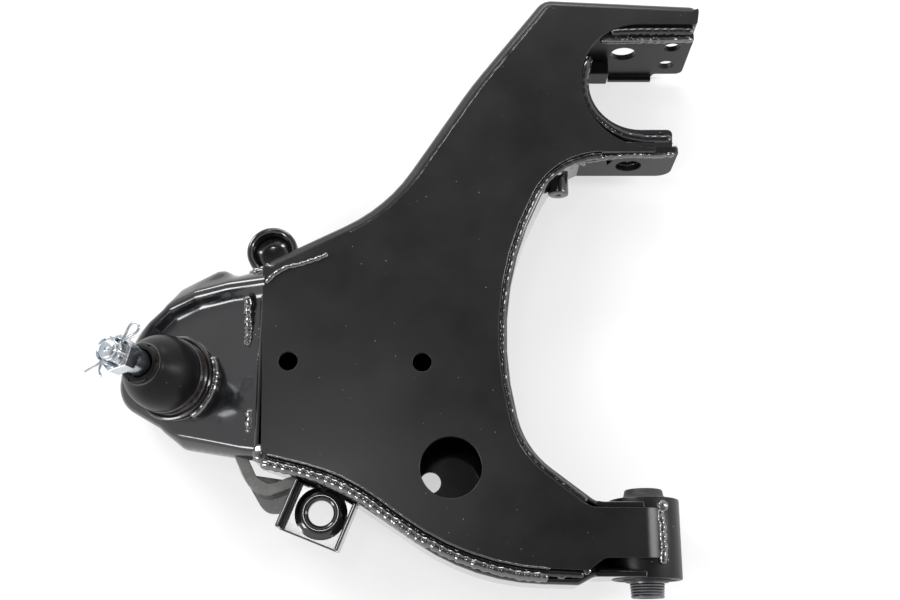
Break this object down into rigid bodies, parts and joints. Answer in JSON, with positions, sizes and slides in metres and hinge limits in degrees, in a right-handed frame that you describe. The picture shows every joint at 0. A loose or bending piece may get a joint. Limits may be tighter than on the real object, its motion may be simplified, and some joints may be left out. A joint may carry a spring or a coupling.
{
  "type": "suspension lower control arm",
  "caption": "Pressed-steel suspension control arm with a bushed pivot tube, a bolt fork, a link bracket and a ball joint with castle nut.",
  "frame": {"origin": "centre of the pivot bush, on the pivot axis, midway along the pivot tube", "axes": "+Y along the pivot axis towards the fork, +Z to the side that the ball stud stands on, the arm reaching out along -X"},
  "size_m": [0.4637, 0.4786, 0.1395],
  "materials": {
    "arm_paint": "satin",
    "joint_paint": "semi-gloss",
    "zinc": "bright zinc",
    "bare_steel": "machined",
    "ring_steel": "blackened",
    "boot_rubber": "matte",
    "bush_rubber": "matte",
    "seat_plastic": "moulded"
  },
  "bodies": {
    "arm": {"upper_plate": "arm_paint", "lower_shell": "arm_paint", "socket_pan": "arm_paint", "ball_housing": "joint_paint", "ball_seat": "seat_plastic", "preload_washer": "bare_steel", "housing_cap": "joint_paint", "boot_base_ring": "ring_steel", "bush_tube": "arm_paint", "bush_outer_shell": "bare_steel", "bush_rubber": "bush_rubber", "fork_ear_front": "arm_paint", "fork_ear_rear": "arm_paint", "fork_stop_tab": "arm_paint", "stop_peg": "arm_paint", "stop_bracket": "arm_paint", "link_bracket": "arm_paint", "bracket_gusset": "arm_paint"},
    "boot_mid": {"boot": "boot_rubber"},
    "boot_collar": {"boot_neck_ring": "boot_rubber"},
    "stud": {"ball_stud": "zinc", "castle_nut": "zinc", "cotter_pin": "zinc"},
    "bush_sleeve": {"bush_inner_sleeve": "bare_steel"}
  },
  "joints": [
    {"name": "ball_travel", "type": "hinge", "parent": "arm", "child": "boot_mid", "pos_m": [-0.3578, 0.122, 0.0106], "axis": [0, 1, 0], "range_deg": [-22, 22], "deforming": ["boot"]},
    {"name": "ball_fore_aft", "type": "hinge", "parent": "boot_mid", "child": "boot_collar", "pos_m": [-0.3578, 0.122, 0.0106], "axis": [0.9511, 0, 0.309], "range_deg": [-8, 8]},
    {"name": "stud_spin", "type": "hinge", "parent": "boot_collar", "child": "stud", "pos_m": [-0.3578, 0.122, 0.0106], "axis": [-0.309, 0, 0.9511], "continuous": true},
    {"name": "bush_twist", "type": "hinge", "parent": "arm", "child": "bush_sleeve", "pos_m": [0, 0, 0], "axis": [0, 1, 0], "range_deg": [-25, 25], "stiffness_Nm_per_rad": 60}
  ]
}
